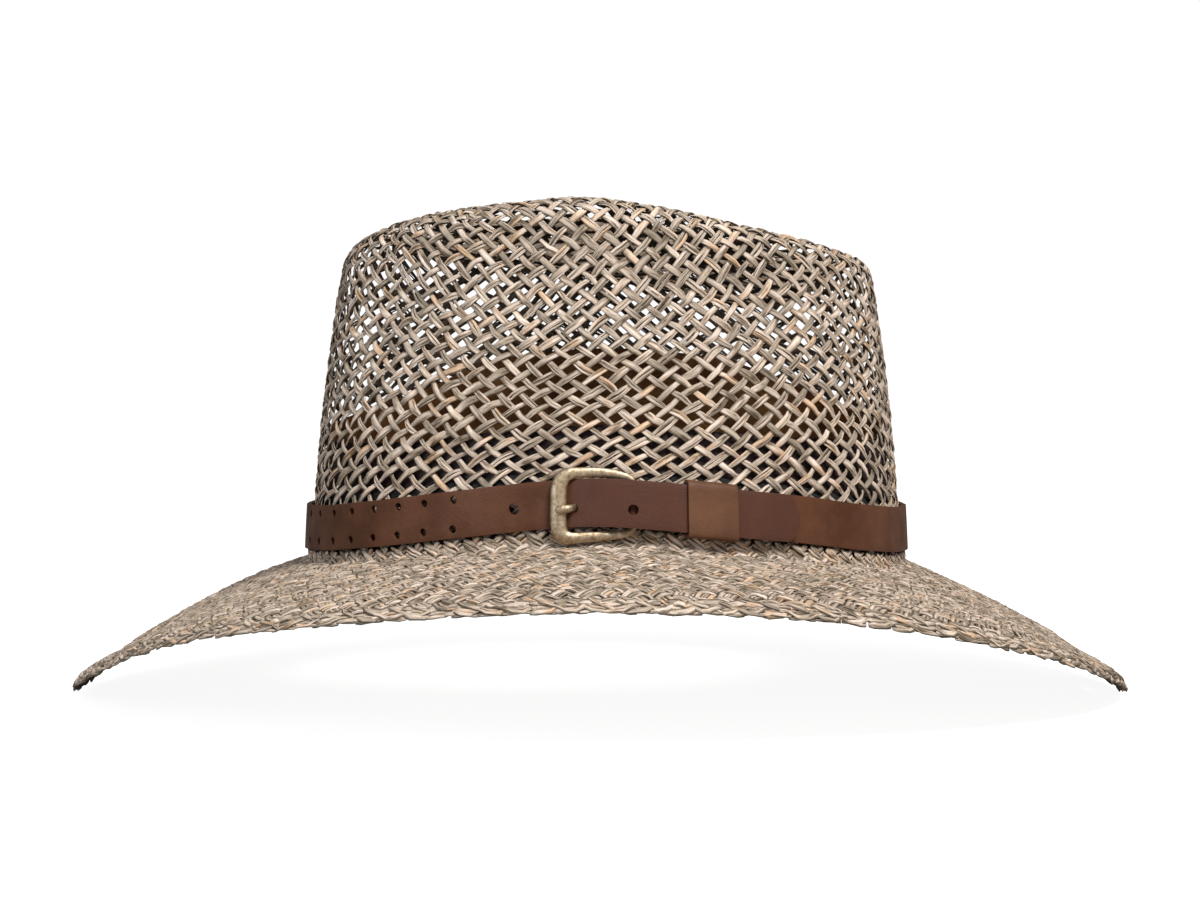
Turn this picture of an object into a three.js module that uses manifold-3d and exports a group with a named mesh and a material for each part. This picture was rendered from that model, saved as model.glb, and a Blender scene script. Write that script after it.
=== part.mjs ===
// Seagrass hat: an open-weave crown with a centre dent, a dense brim turned down at the front
// and the back, a leather sweatband inside, and a leather belt fastened with a brass buckle.
// +Z is up and z = 0 is the level of the brim's front and back tips. -X is the hat's front,
// and -Y is the wearer's left, where the buckle sits. All sizes are in millimetres.
import * as THREE from 'three';
import Module from 'manifold-3d';

// Head oval, measured on the outside of the crown at FOOT_REF
const CROWN_HALF_LENGTH = 103.5;
const CROWN_HALF_WIDTH = 86.5;
const CROWN_CENTRE_X = 2.2;
const EGG = 0.025;
const FOOT_REF = 48;
const CROWN_WALL = 1.8;

// Inset of the crown's wall at a height over FOOT_REF: a line and a square term
const TAPER_LINE = 0.038;
const TAPER_SQUARE = 0.0007;
const TAPER_SIDE = 1.15;

// Brim
const BRIM_HALF_LENGTH = 182.2;
const BRIM_HALF_WIDTH = 166;
const BRIM_THICK = 2.0;
const BREAK_ENDS = 0.6;
const BREAK_SIDES = 2.3;

// Sweatband and the tape behind it
const BAND_THICK = 1.2;
const TAPE_THICK = 0.6;
const TAPE_TALL = 21.5;

// Belt strap
const STRAP_WIDTH = 15.2;
const STRAP_THICK = 1.8;
const STRAP_OVER_FOOT = 3.2;
const GAP = 0.3;

// Keeper loop
const KEEPER_X = 34.4;
const KEEPER_WIDE = 15.7;
const KEEPER_THICK = 1.3;
const KEEPER_BACK = 0.9;
const KEEPER_FRONT = 5.8;

// Buckle frame, leaning out from its heel bar to its round bar
const FRAME_DEEP = 2.2;
const FRAME_BEVEL = 0.5;
const FRAME_DROP = 0.6;
const FRAME_LEAN = 0.091;
const HEEL_X = 10.4;
const HEEL_OFF = 2.6;

// Strap end folded round the heel bar
const BORE_RADIUS = 1.45;
const CHAPE_RADIUS = 2.15;
const CHAPE_HALF = 5.2;

// Prong
const PRONG_THICK = 1.3;
const PRONG_WIDE = 2.7;
const PRONG_DROP = 1.8;
const PRONG_RING = 2.1;

// Ridge of the crown, its half spread and the depth of the dent, read along the hat
const RIDGE = [
  { x: -104, z: 154.0, half: 12, dent: 0 },
  { x: -90, z: 158.6, half: 17, dent: 0 },
  { x: -78.7, z: 161.4, half: 26, dent: 3 },
  { x: -66, z: 164.1, half: 38, dent: 9 },
  { x: -52, z: 165.9, half: 48, dent: 14 },
  { x: -30, z: 167.8, half: 57, dent: 18.5 },
  { x: -8, z: 169.3, half: 61.5, dent: 22 },
  { x: 14, z: 167.1, half: 62, dent: 24 },
  { x: 34, z: 163.4, half: 59, dent: 24.5 },
  { x: 52, z: 159.7, half: 54, dent: 24 },
  { x: 67, z: 158.1, half: 51, dent: 21 },
  { x: 80, z: 158.4, half: 45, dent: 13 },
  { x: 90, z: 158.4, half: 38, dent: 4 },
  { x: 99, z: 156.4, half: 30, dent: 0 },
  { x: 108, z: 152.0, half: 22, dent: 0 },
];

// Level of the brim's edge, read along the hat
const EDGE = [
  { x: -182, z: 0.4 },
  { x: -176, z: 6.4 },
  { x: -168, z: 11.1 },
  { x: -158, z: 17.0 },
  { x: -142, z: 24.6 },
  { x: -120, z: 31.6 },
  { x: -94, z: 36.5 },
  { x: -66, z: 40.2 },
  { x: -40, z: 42.5 },
  { x: 0, z: 44.2 },
  { x: 40, z: 42.9 },
  { x: 66, z: 40.3 },
  { x: 94, z: 35.8 },
  { x: 120, z: 29.4 },
  { x: 142, z: 22.4 },
  { x: 158, z: 15.8 },
  { x: 168, z: 10.5 },
  { x: 176, z: 5.9 },
  { x: 182, z: 0 },
];

// Level of the crown's foot by azimuth in degrees from +X: high at the sides
const FOOT = [
  { azimuth: 0, z: 46.6 },
  { azimuth: 18, z: 47.2 },
  { azimuth: 36, z: 49.6 },
  { azimuth: 53, z: 53.4 },
  { azimuth: 66, z: 56.0 },
  { azimuth: 76, z: 58.0 },
  { azimuth: 91, z: 60.1 },
  { azimuth: 100, z: 59.1 },
  { azimuth: 118, z: 55.3 },
  { azimuth: 138, z: 51.0 },
  { azimuth: 158, z: 48.0 },
  { azimuth: 180, z: 47.0 },
  { azimuth: 202, z: 48.0 },
  { azimuth: 222, z: 51.0 },
  { azimuth: 242, z: 55.3 },
  { azimuth: 260, z: 59.1 },
  { azimuth: 269, z: 60.1 },
  { azimuth: 284, z: 58.0 },
  { azimuth: 294, z: 56.0 },
  { azimuth: 307, z: 53.4 },
  { azimuth: 324, z: 49.6 },
  { azimuth: 342, z: 47.2 },
  { azimuth: 360, z: 46.6 },
];

// Level of the sweatband's top edge by azimuth in degrees from +X, the near side at 270
const BAND_TOP = [
  { azimuth: 0, z: 93.5 },
  { azimuth: 24, z: 98 },
  { azimuth: 42, z: 106 },
  { azimuth: 66, z: 117 },
  { azimuth: 90, z: 120 },
  { azimuth: 114, z: 116.5 },
  { azimuth: 136, z: 104 },
  { azimuth: 158, z: 96.5 },
  { azimuth: 180, z: 92 },
  { azimuth: 204, z: 88 },
  { azimuth: 228, z: 89 },
  { azimuth: 250, z: 93 },
  { azimuth: 270, z: 95.2 },
  { azimuth: 305, z: 91 },
  { azimuth: 335, z: 89 },
  { azimuth: 360, z: 93.5 },
];

// Belt path: x on the near side with its lap, clear distance from the crown, share of the width
const STRAP_PATH = [
  { lap: 0, x: 10.4, off: 1.6, wide: 0.684 },
  { lap: 0, x: 13, off: 1.6, wide: 0.684 },
  { lap: 0, x: 18.5, off: 1.55, wide: 1 },
  { lap: 0, x: 46, off: 1.5, wide: 1 },
  { lap: 0, x: 58, off: 0.9, wide: 1 },
  { lap: 0, x: 76, off: 0.6, wide: 1 },
  { lap: 1, x: -32, off: 0.6, wide: 1 },
  { lap: 1, x: -24, off: 0.45, wide: 1 },
  { lap: 1, x: -16, off: 0.7, wide: 1 },
  { lap: 1, x: -10.2, off: 1.2, wide: 1 },
  { lap: 1, x: -6, off: 2.3, wide: 1 },
  { lap: 1, x: 0, off: 4.1, wide: 1 },
  { lap: 1, x: 5, off: 4.95, wide: 1 },
  { lap: 1, x: 10.4, off: 5.05, wide: 1 },
  { lap: 1, x: 16, off: 4.9, wide: 1 },
  { lap: 1, x: 24, off: 3.7, wide: 1 },
  { lap: 1, x: 46, off: 3.65, wide: 1 },
  { lap: 1, x: 60, off: 3.2, wide: 1 },
  { lap: 1, x: 62, off: 3.1, wide: 0.92 },
  { lap: 1, x: 63.5, off: 3.05, wide: 0.72 },
  { lap: 1, x: 64.4, off: 3, wide: 0.36 },
];

// Punched holes: x on the near side, height over the middle line, radius, start of the cut
const HOLES = [
  { x: -27, v: -0.3, radius: 1.8, from: -1 },
  { x: -7.6, v: -1.8, radius: 1.9, from: -1 },
  { x: 10.1, v: -1.7, radius: 1.7, from: 4.9 },
  { x: -96.8, v: 4.8, radius: 1.3, from: -1 },
  { x: -92.8, v: 4.8, radius: 1.3, from: -1 },
  { x: -87.3, v: 4.8, radius: 1.3, from: -1 },
  { x: -80.7, v: 4.8, radius: 1.3, from: -1 },
  { x: -72.9, v: 4.8, radius: 1.3, from: -1 },
  { x: -64.6, v: 4.8, radius: 1.3, from: -1 },
  { x: -56, v: 4.8, radius: 1.3, from: -1 },
  { x: -46.4, v: 4.8, radius: 1.3, from: -1 },
  { x: -96.8, v: -4.5, radius: 1.3, from: -1 },
  { x: -92.8, v: -4.5, radius: 1.3, from: -1 },
  { x: -87.3, v: -4.5, radius: 1.3, from: -1 },
  { x: -80.7, v: -4.5, radius: 1.3, from: -1 },
  { x: -72.9, v: -4.5, radius: 1.3, from: -1 },
  { x: -64.6, v: -4.5, radius: 1.3, from: -1 },
  { x: -56, v: -4.5, radius: 1.3, from: -1 },
  { x: -46.4, v: -4.5, radius: 1.3, from: -1 },
  { x: 103.7, v: -4.8, radius: 1.15, from: -1 },
];

// Upper half of the buckle frame's outline and of its opening, from the round bar to the heel
const FRAME_OUTER = [
  { x: -15.2, v: 5.8 },
  { x: -14.9, v: 8.3 },
  { x: -13.9, v: 10.3 },
  { x: -12.1, v: 11.5 },
  { x: -9.5, v: 11.95 },
  { x: -3, v: 11.8 },
  { x: 2, v: 11.3 },
  { x: 6, v: 10.6 },
  { x: 9, v: 9.6 },
  { x: 11.2, v: 8.4 },
  { x: 11.5, v: 7.6 },
  { x: 11.35, v: 6.4 },
];
const FRAME_INNER = [
  { x: -10.2, v: 5.4 },
  { x: -9.7, v: 7.3 },
  { x: -7.9, v: 8.45 },
  { x: 0, v: 8.5 },
  { x: 4.5, v: 8.4 },
  { x: 8, v: 8.0 },
  { x: 9.2, v: 7.1 },
  { x: 9.45, v: 6.0 },
];

// Middle line of the prong's tongue, from its ring on the heel bar to its tip
const TONGUE = [
  { x: 8.9, off: 2.25, wide: 1 },
  { x: 3, off: 1.75, wide: 0.95 },
  { x: -3, off: 1.25, wide: 0.88 },
  { x: -5.9, off: 1.1, wide: 0.85 },
  { x: -6.9, off: 1.6, wide: 0.85 },
  { x: -7.5, off: 2.7, wide: 0.85 },
  { x: -8.1, off: 4.6, wide: 0.88 },
  { x: -8.9, off: 6.1, wide: 0.95 },
  { x: -10.2, off: 6.65, wide: 1 },
  { x: -12, off: 6.75, wide: 1 },
  { x: -13.1, off: 6.8, wide: 0.85 },
];

const wasm = await Module();
wasm.setup();

const DEG = Math.PI / 180;
const ROUND = 60;

// Smooth reading of a table, by cubic pieces that keep between its rows
function read(rows, key, name, at) {
  const last = rows.length - 1;
  if (at <= rows[0][key]) return rows[0][name];
  if (at >= rows[last][key]) return rows[last][name];
  let i = 0;
  while (rows[i + 1][key] < at) i += 1;
  const step = rows[i + 1][key] - rows[i][key];
  const rate = (j) => (rows[j + 1][name] - rows[j][name]) / (rows[j + 1][key] - rows[j][key]);
  const slope = (j) => {
    if (j === 0) return rate(0);
    if (j === last) return rate(last - 1);
    const a = rate(j - 1);
    const b = rate(j);
    return a * b <= 0 ? 0 : (2 * a * b) / (a + b);
  };
  const t = (at - rows[i][key]) / step;
  const ease = t * t * (3 - 2 * t);
  const rise = rows[i][name] * (1 - ease) + rows[i + 1][name] * ease;
  return rise + step * t * (1 - t) * (slope(i) * (1 - t) - slope(i + 1) * t);
}

function inset(z) {
  const h = Math.max(0, z - FOOT_REF);
  return TAPER_LINE * h + TAPER_SQUARE * h * h;
}

// Point of the crown's outside at an azimuth and a level, moved out by a distance
function wallPoint(a, z, out = 0) {
  const half = CROWN_HALF_LENGTH - inset(z);
  const wide = (CROWN_HALF_WIDTH - inset(z) * TAPER_SIDE) * (1 + EGG * Math.cos(a));
  const n = new THREE.Vector2(wide * Math.cos(a), half * Math.sin(a)).normalize();
  const x = CROWN_CENTRE_X + half * Math.cos(a) + n.x * out;
  return new THREE.Vector3(x, wide * Math.sin(a) + n.y * out, z);
}

function footLevel(a) {
  return read(FOOT, 'azimuth', 'z', (a / DEG) % 360);
}

function strapMiddle(a) {
  return footLevel(a) + STRAP_OVER_FOOT + STRAP_WIDTH / 2;
}

// Azimuth on the near side whose wall point at belt level has this x
function azimuthAt(x) {
  const c = (x - CROWN_CENTRE_X) / (CROWN_HALF_LENGTH - inset(62));
  return 2 * Math.PI - Math.acos(THREE.MathUtils.clamp(c, -1, 1));
}

// Point near the belt: run s along it from an azimuth, height v over its middle, distance off
function beltPoint(from, s, v, off) {
  const rate = wallPoint(from - 0.01, 62).distanceTo(wallPoint(from + 0.01, 62)) / 0.02;
  const a = from + s / rate;
  return wallPoint(a, strapMiddle(a) + v, off);
}

// Level of the crown's top over a point, with the dent between its two ridges
function topLevel(x, y) {
  const ridge = read(RIDGE, 'x', 'z', x);
  const half = read(RIDGE, 'x', 'half', x);
  const depth = read(RIDGE, 'x', 'dent', x);
  const t = Math.abs(y) / half;
  if (t < 1) return ridge - depth * Math.cos((t * Math.PI) / 2) ** 2;
  return ridge - (Math.abs(y) - half) ** 2 / 44;
}

// Geometry from points and index triples
function fromFaces(points, faces) {
  const geometry = new THREE.BufferGeometry();
  const flat = points.flatMap((p) => [p.x, p.y, p.z]);
  geometry.setAttribute('position', new THREE.Float32BufferAttribute(flat, 3));
  geometry.setIndex(faces.flat());
  geometry.computeVertexNormals();
  return geometry;
}

// A closed geometry with its faces pointing out
function outward(geometry) {
  const at = geometry.attributes.position;
  const index = Array.from(geometry.index.array);
  const [p, q, r] = [new THREE.Vector3(), new THREE.Vector3(), new THREE.Vector3()];
  let volume = 0;
  for (let i = 0; i < index.length; i += 3) {
    p.fromBufferAttribute(at, index[i]);
    q.fromBufferAttribute(at, index[i + 1]);
    r.fromBufferAttribute(at, index[i + 2]);
    volume += p.dot(q.cross(r));
  }
  if (volume < 0) {
    for (let i = 0; i < index.length; i += 3) {
      [index[i + 1], index[i + 2]] = [index[i + 2], index[i + 1]];
    }
    geometry.setIndex(index);
    geometry.computeVertexNormals();
  }
  return geometry;
}

// Faces between rows of points that go round; a row of one point closes an end
function skin(rows, looped) {
  const first = [];
  let count = 0;
  for (const row of rows) {
    first.push(count);
    count += row.length;
  }
  const faces = [];
  const spans = looped ? rows.length : rows.length - 1;
  for (let r = 0; r < spans; r += 1) {
    const s = (r + 1) % rows.length;
    const lone = rows[r].length === 1;
    const shut = rows[s].length === 1;
    const n = Math.max(rows[r].length, rows[s].length);
    for (let i = 0; i < n; i += 1) {
      const j = (i + 1) % n;
      const a = first[r] + (lone ? 0 : i);
      const b = first[r] + (lone ? 0 : j);
      const c = first[s] + (shut ? 0 : j);
      const d = first[s] + (shut ? 0 : i);
      if (!lone) faces.push([a, b, c]);
      if (!shut) faces.push([a, c, d]);
    }
  }
  return fromFaces(rows.flat(), faces);
}

// Thin wall between an outer and an inner set of rows that share their shape
function shell(outer, inner) {
  const front = skin(outer, false).index.array;
  const back = skin(inner, false).index.array;
  const shift = outer.flat().length;
  const faces = [];
  for (let i = 0; i < front.length; i += 3) {
    faces.push([front[i], front[i + 1], front[i + 2]]);
    faces.push([back[i] + shift, back[i + 2] + shift, back[i + 1] + shift]);
  }
  const n = outer[0].length;
  for (let i = 0; i < n; i += 1) {
    const j = (i + 1) % n;
    faces.push([i, shift + j, j], [i, shift + i, shift + j]);
  }
  return outward(fromFaces([...outer.flat(), ...inner.flat()], faces));
}

// Closed solid along a run of rings, with a flat fan at each end
function run(rows) {
  const middle = (row) => {
    const sum = new THREE.Vector3();
    for (const p of row) sum.add(p);
    return sum.divideScalar(row.length);
  };
  return outward(skin([[middle(rows[0])], ...rows, [middle(rows.at(-1))]], false));
}

function toManifold(geometry) {
  return new wasm.Manifold(new wasm.Mesh({
    numProp: 3,
    vertProperties: new Float32Array(geometry.attributes.position.array),
    triVerts: new Uint32Array(geometry.index.array),
  }));
}

function fromManifold(body) {
  const mesh = body.getMesh();
  const geometry = new THREE.BufferGeometry();
  geometry.setAttribute('position', new THREE.BufferAttribute(mesh.vertProperties, 3));
  geometry.setIndex(new THREE.BufferAttribute(mesh.triVerts, 1));
  geometry.computeVertexNormals();
  return geometry;
}

// Solid of a flat outline lifted through levels, each with its own outline, and then placed
function lifted(levels, place) {
  return toManifold(run(levels.map((level) => level.outline.map((p) => place(p.x, p.y, level.at)))));
}

function circle(x, y, radius, sides) {
  const points = [];
  for (let i = 0; i < sides; i += 1) {
    const t = (i / sides) * 2 * Math.PI;
    points.push(new THREE.Vector2(x + radius * Math.cos(t), y + radius * Math.sin(t)));
  }
  return points;
}

// A closed outline moved out (or in, when negative) along the normals of its corners
function moved(outline, distance) {
  const n = outline.length;
  return outline.map((p, i) => {
    const before = outline[(i + n - 1) % n];
    const after = outline[(i + 1) % n];
    const way = new THREE.Vector2(after.x - before.x, after.y - before.y).normalize();
    return new THREE.Vector2(p.x + way.y * distance, p.y - way.x * distance);
  });
}

const hat = new THREE.Group();

function add(name, geometry, color, roughness, metalness = 0) {
  const material = new THREE.MeshStandardMaterial({ color, roughness, metalness });
  const mesh = new THREE.Mesh(geometry, material);
  mesh.name = name;
  hat.add(mesh);
}

// Crown: rows from the foot up the wall, over the shoulder and down into the dent
const WALL_ROWS = [0, 0.16, 0.34, 0.52, 0.7, 0.86, 1];
const SHOULDER_ROWS = [0.25, 0.5, 0.75];
const TOP_ROWS = [1, 0.87, 0.73, 0.57, 0.38, 0.18];

function crownColumn(a) {
  let corner = 155;
  for (let k = 0; k < 8; k += 1) {
    const p = wallPoint(a, corner);
    corner = topLevel(p.x, p.y);
  }
  const round = 13 - 6 * Math.sin(a) ** 2;
  const foot = footLevel(a) - 1;
  const peak = wallPoint(a, corner);
  const low = wallPoint(a, corner - round);
  const plan = Math.hypot(peak.x - CROWN_CENTRE_X, peak.y);
  const keep = (plan - round) / plan;
  const over = (k) => {
    const x = CROWN_CENTRE_X + (peak.x - CROWN_CENTRE_X) * k;
    return new THREE.Vector3(x, peak.y * k, topLevel(x, peak.y * k));
  };
  const column = WALL_ROWS.map((t) => wallPoint(a, foot + (corner - round - foot) * t));
  for (const t of SHOULDER_ROWS) {
    const p = low.clone().multiplyScalar((1 - t) ** 2);
    p.addScaledVector(peak, 2 * t * (1 - t)).addScaledVector(over(keep), t * t);
    column.push(p);
  }
  for (const t of TOP_ROWS) column.push(over(keep * t));
  return column;
}

function crownRows() {
  const columns = [];
  for (let i = 0; i < ROUND; i += 1) columns.push(crownColumn((i / ROUND) * 2 * Math.PI));
  const rows = columns[0].map((_, r) => columns.map((c) => c[r]));
  rows.push([new THREE.Vector3(CROWN_CENTRE_X, 0, topLevel(CROWN_CENTRE_X, 0))]);
  return rows;
}

// The same rows moved in along their normals, with the foot kept level
function movedIn(rows, thick) {
  const normal = skin(rows, false).attributes.normal;
  let k = 0;
  return rows.map((row, r) => row.map((p) => {
    const n = new THREE.Vector3().fromBufferAttribute(normal, k);
    k += 1;
    if (r === 0) n.setZ(0).normalize();
    return p.clone().addScaledVector(n, -thick);
  }));
}

const crownOutside = crownRows();
add('crown', shell(crownOutside, movedIn(crownOutside, CROWN_WALL)), 0xb0a48c, 0.85);

// Brim: rows from the crown out to the edge on the top, and back on the underside.
// Columns: share of the way out, share of the hollow where it leaves the crown, rise over
// the straight line, and the drops of the top and of the underside in thicknesses
const BRIM_ROWS = [
  { t: 0, turn: 1, rise: 0, up: 0, down: 1 },
  { t: 0.013, turn: 0.48, rise: 0.15, up: 0, down: 1 },
  { t: 0.028, turn: 0.16, rise: 0.3, up: 0, down: 1 },
  { t: 0.05, turn: 0, rise: 0.6, up: 0, down: 1 },
  { t: 0.25, turn: 0, rise: 2.3, up: 0, down: 1 },
  { t: 0.5, turn: 0, rise: 3.2, up: 0, down: 1 },
  { t: 0.72, turn: 0, rise: 3.4, up: 0, down: 1 },
  { t: 0.88, turn: 0, rise: 3.3, up: 0, down: 1 },
  { t: 0.955, turn: 0, rise: 2.6, up: 0, down: 1 },
  { t: 0.988, turn: 0, rise: 1.6, up: 0.05, down: 0.95 },
  { t: 1, turn: 0, rise: 0, up: 0.35, down: 0.65 },
];

function brimRow(row, drop) {
  const points = [];
  for (let i = 0; i < ROUND; i += 1) {
    const a = (i / ROUND) * 2 * Math.PI;
    const x = BRIM_HALF_LENGTH * Math.cos(a);
    const edge = new THREE.Vector3(x, BRIM_HALF_WIDTH * Math.sin(a), 0);
    edge.z = read(EDGE, 'x', 'z', x) + BRIM_THICK * 0.65;
    const hollow = BREAK_ENDS + BREAK_SIDES * Math.sin(a) ** 2;
    const p = wallPoint(a, footLevel(a), GAP);
    p.z -= hollow;
    p.lerp(edge, row.t);
    p.z += hollow * row.turn + row.rise - drop * BRIM_THICK;
    points.push(p);
  }
  return points;
}

const brimTop = BRIM_ROWS.map((row) => brimRow(row, row.up));
const brimUnder = BRIM_ROWS.map((row) => brimRow(row, row.down)).reverse();
add('brim', outward(skin([...brimTop, ...brimUnder], true)), 0xb9a688, 0.88);

// Band inside the crown: depth from the outside, thickness, foot and top levels
function band(depth, thick, bottom, top) {
  const rows = [[], [], [], [], [], []];
  for (let i = 0; i < ROUND; i += 1) {
    const a = (i / ROUND) * 2 * Math.PI;
    const low = bottom(a);
    const high = top(a);
    const middle = (low + high) / 2;
    rows[0].push(wallPoint(a, low, -depth));
    rows[1].push(wallPoint(a, low, -depth - thick));
    rows[2].push(wallPoint(a, middle, -depth - thick));
    rows[3].push(wallPoint(a, high, -depth - thick));
    rows[4].push(wallPoint(a, high, -depth));
    rows[5].push(wallPoint(a, middle, -depth));
  }
  return outward(skin(rows, true));
}

const tapeDepth = CROWN_WALL + GAP;
const bandDepth = tapeDepth + TAPE_THICK + GAP;
const bandTop = (a) => read(BAND_TOP, 'azimuth', 'z', a / DEG);
const tapeTop = (a) => footLevel(a) + TAPE_TALL;
add('sweatband_tape', band(tapeDepth, TAPE_THICK, footLevel, tapeTop), 0x1b1b1a, 0.8);
add('sweatband', band(bandDepth, BAND_THICK, footLevel, bandTop), 0x5a3d26, 0.55);

// Belt strap: from the heel bar round the crown and over its own start
function strapStations(from, to) {
  const stations = [];
  for (let a = from; a < to - 4.6 * DEG;) {
    stations.push(a);
    a += Math.abs(((a / DEG) % 360) - 270) < 46 ? 3 * DEG : 6 * DEG;
  }
  for (const back of [4.2, 3, 2, 1.25, 0.7, 0.3, 0]) stations.push(to - back * DEG);
  return stations;
}

const strapTable = STRAP_PATH.map((row) => ({ ...row, a: azimuthAt(row.x) + row.lap * 2 * Math.PI }));

function strapRing(a) {
  const off = read(strapTable, 'a', 'off', a);
  const half = (read(strapTable, 'a', 'wide', a) * STRAP_WIDTH) / 2;
  const middle = strapMiddle(a);
  return [
    wallPoint(a, middle - half, off),
    wallPoint(a, middle + half, off),
    wallPoint(a, middle + half, off + STRAP_THICK),
    wallPoint(a, middle - half, off + STRAP_THICK),
  ];
}

// Strap end folded round the heel bar, bored for the bar and slotted for the prong
const buckleAt = azimuthAt(0);
const alongHeel = (x, off, v) => beltPoint(buckleAt, x, v, off);
const slotHalf = PRONG_WIDE / 2 + GAP;
const slotOutline = [
  new THREE.Vector2(7.4, -1),
  new THREE.Vector2(13.4, -1),
  new THREE.Vector2(13.4, 4.85),
  new THREE.Vector2(7.4, 4.85),
];
const chapeOutline = circle(HEEL_X, HEEL_OFF, CHAPE_RADIUS, 16);
const boreOutline = circle(HEEL_X, HEEL_OFF, BORE_RADIUS, 16);
const chape = lifted([
  { outline: chapeOutline, at: -CHAPE_HALF },
  { outline: chapeOutline, at: CHAPE_HALF },
], alongHeel);
const bore = lifted([{ outline: boreOutline, at: -9 }, { outline: boreOutline, at: 9 }], alongHeel);
const slot = lifted([
  { outline: slotOutline, at: -PRONG_DROP - slotHalf },
  { outline: slotOutline, at: -PRONG_DROP + slotHalf },
], alongHeel);

const strapRings = strapStations(strapTable[0].a, strapTable.at(-1).a).map(strapRing);
let strap = toManifold(run(strapRings)).add(chape).subtract(bore).subtract(slot);
for (const hole of HOLES) {
  const at = azimuthAt(hole.x);
  const outline = circle(0, hole.v, hole.radius, 8);
  const place = (s, v, off) => beltPoint(at, s, v, off);
  strap = strap.subtract(lifted([{ outline, at: hole.from }, { outline, at: 9 }], place));
}
add('strap', fromManifold(strap), 0x5c3b30, 0.5);

// Rounded outline of the keeper's section: half height and the two faces' distances
function keeperOutline(half, low, high, radius) {
  const points = [];
  for (let corner = 0; corner < 4; corner += 1) {
    const v = (half - radius) * (corner === 0 || corner === 3 ? 1 : -1);
    const off = corner < 2 ? high - radius : low + radius;
    for (let k = 0; k <= 3; k += 1) {
      const t = (corner + k / 3) * (Math.PI / 2);
      points.push(new THREE.Vector2(v + radius * Math.cos(t), off + radius * Math.sin(t)));
    }
  }
  return points;
}

// Keeper loop round both layers of the strap
const keeperAt = azimuthAt(KEEPER_X);
const keeperHalf = STRAP_WIDTH / 2 + GAP;
const keeperOuter = keeperOutline(keeperHalf + KEEPER_THICK, GAP, KEEPER_FRONT + KEEPER_THICK, 1.2);
const keeperInner = keeperOutline(keeperHalf, GAP + KEEPER_BACK, KEEPER_FRONT, 0.25);
const keeperSteps = [-0.5, -0.25, 0, 0.25, 0.5].map((t) => t * KEEPER_WIDE);
const keeperRow = (outline, s) => outline.map((p) => beltPoint(keeperAt, s, p.x, p.y));
const keeperOut = keeperSteps.map((s) => keeperRow(keeperOuter, s));
const keeperBack = keeperSteps.map((s) => keeperRow(keeperInner, s)).reverse();
add('keeper_loop', outward(skin([...keeperOut, ...keeperBack], true)), 0x734e38, 0.5);

// Buckle frame: outline and opening, each turned over to its lower half
function wholeOutline(half) {
  const upper = half.map((row) => new THREE.Vector2(row.x, row.v));
  const lower = half.map((row) => new THREE.Vector2(row.x, -row.v)).reverse();
  return [...upper, ...lower];
}

function framePlace(x, v, w) {
  return beltPoint(buckleAt, x, v - FRAME_DROP, HEEL_OFF + (HEEL_X - x) * FRAME_LEAN + w);
}

const frameOuter = wholeOutline(FRAME_OUTER);
const frameInner = wholeOutline(FRAME_INNER);
const deep = FRAME_DEEP / 2;
const frameBody = lifted([
  { outline: moved(frameOuter, FRAME_BEVEL), at: -deep },
  { outline: frameOuter, at: FRAME_BEVEL - deep },
  { outline: frameOuter, at: deep - FRAME_BEVEL },
  { outline: moved(frameOuter, FRAME_BEVEL), at: deep },
], framePlace);
const frameOpening = lifted([
  { outline: moved(frameInner, -FRAME_BEVEL - 1.5), at: -deep - 1.5 },
  { outline: frameInner, at: FRAME_BEVEL - deep },
  { outline: frameInner, at: deep - FRAME_BEVEL },
  { outline: moved(frameInner, -FRAME_BEVEL - 1.5), at: deep + 1.5 },
], framePlace);
add('buckle_frame', fromManifold(frameBody.subtract(frameOpening)), 0x96825f, 0.35, 0.9);

// Prong: a ring on the heel bar, and a tongue that comes out of the strap over the round bar
function tongueRing(row, i) {
  const before = TONGUE[Math.max(0, i - 1)];
  const after = TONGUE[Math.min(TONGUE.length - 1, i + 1)];
  const way = new THREE.Vector2(after.x - before.x, after.off - before.off).normalize();
  const half = (row.wide * PRONG_WIDE) / 2;
  const ring = [];
  for (const [v, w] of [[-1, -1], [1, -1], [1, 1], [-1, 1]]) {
    const x = row.x - (way.y * w * PRONG_THICK) / 2;
    const off = row.off + (way.x * w * PRONG_THICK) / 2;
    ring.push(alongHeel(x, off, v * half - PRONG_DROP));
  }
  return ring;
}

const ringOutline = circle(HEEL_X, HEEL_OFF, PRONG_RING, 18);
const prongRing = lifted([
  { outline: ringOutline, at: -PRONG_DROP - PRONG_WIDE / 2 },
  { outline: ringOutline, at: -PRONG_DROP + PRONG_WIDE / 2 },
], alongHeel);
const tongue = toManifold(run(TONGUE.map(tongueRing)));
add('buckle_prong', fromManifold(prongRing.add(tongue).subtract(bore)), 0xb09a70, 0.3, 0.9);

export default hat;
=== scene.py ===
# %% [markdown]
# # A seagrass hat with a buckled leather belt
# The hat has a crown of open plain weave, a brim of dense weave, a leather sweatband inside, and
# a leather belt that a brass buckle closes. The CAD model gives the exact forms as thin walls.
# This lesson keeps those forms and lays real strands, leather and metal over them. Shapes are
# worked out in millimetres and turned to metres as Blender takes them over.

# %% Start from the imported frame
import math

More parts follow.
